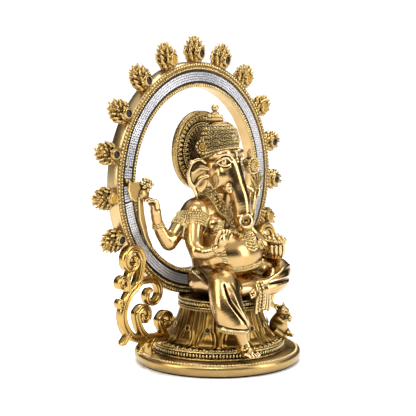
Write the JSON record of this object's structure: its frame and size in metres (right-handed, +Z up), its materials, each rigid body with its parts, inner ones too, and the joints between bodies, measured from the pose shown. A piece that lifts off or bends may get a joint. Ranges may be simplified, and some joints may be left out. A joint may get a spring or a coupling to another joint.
{
  "type": "seated ganesha statue",
  "caption": "Cast brass figure of a seated four-armed elephant-headed deity on a lotus throne, framed by a ring aureole with flame finials and scroll brackets.",
  "frame": {"origin": "centre of the underside of the base, on the surface the statue stands on", "axes": "+Z up, the figure faces -Y, +X is the figure's own left"},
  "size_m": [0.2458, 0.1438, 0.2784],
  "materials": {
    "satin_brass": "satin, warm, darker in the recesses",
    "polished_brass": "polished, lightly brushed",
    "antique_brass": "antiqued, dark brown in the relief, rubbed bright on the edges",
    "fastener_steel": "zinc plated",
    "crystal_mesh": "square silver-foiled stones in rows",
    "black_felt": "matt felt"
  },
  "bodies": {
    "root": {"felt_ring": "black_felt", "base_plate": "satin_brass", "plinth_drum": "satin_brass", "lotus_throne": "satin_brass", "aureole_frame": "satin_brass", "halo_disc": "satin_brass", "axe": "satin_brass", "mouse": "satin_brass", "seat_slab": "antique_brass", "necklace": "antique_brass", "belly_chain": "antique_brass", "medallion": "antique_brass", "waist_belt": "antique_brass", "crown": "antique_brass", "crown_knob": "antique_brass", "lotus_emblem": "antique_brass", "sweet_bowl": "antique_brass", "front_pleats": "antique_brass", "bolt_washer": "fastener_steel", "throne_bolt": "fastener_steel", "ring_screw": "fastener_steel", "crystal_band_top": "crystal_mesh", "crystal_band_chip": "crystal_mesh", "crystal_band_sliver": "crystal_mesh", "crystal_band_right": "crystal_mesh", "crystal_band_left": "crystal_mesh", "finial_01": "antique_brass", "finial_02": "antique_brass", "finial_03": "antique_brass", "finial_04": "antique_brass", "finial_05": "antique_brass", "finial_06": "antique_brass", "finial_07": "antique_brass", "finial_08": "antique_brass", "finial_09": "antique_brass", "finial_10": "antique_brass", "finial_11": "antique_brass", "finial_12": "antique_brass", "finial_13": "antique_brass", "scroll_right": "polished_brass", "scroll_left": "polished_brass", "torso": "polished_brass", "head": "polished_brass", "ear_right": "polished_brass", "ear_left": "polished_brass", "tusk_right": "polished_brass", "tusk_left": "polished_brass", "arm_front_right": "polished_brass", "arm_front_left": "polished_brass", "arm_rear_right": "polished_brass", "arm_rear_left": "polished_brass", "leg_pendant": "polished_brass", "leg_folded": "polished_brass"}
  },
  "joints": []
}
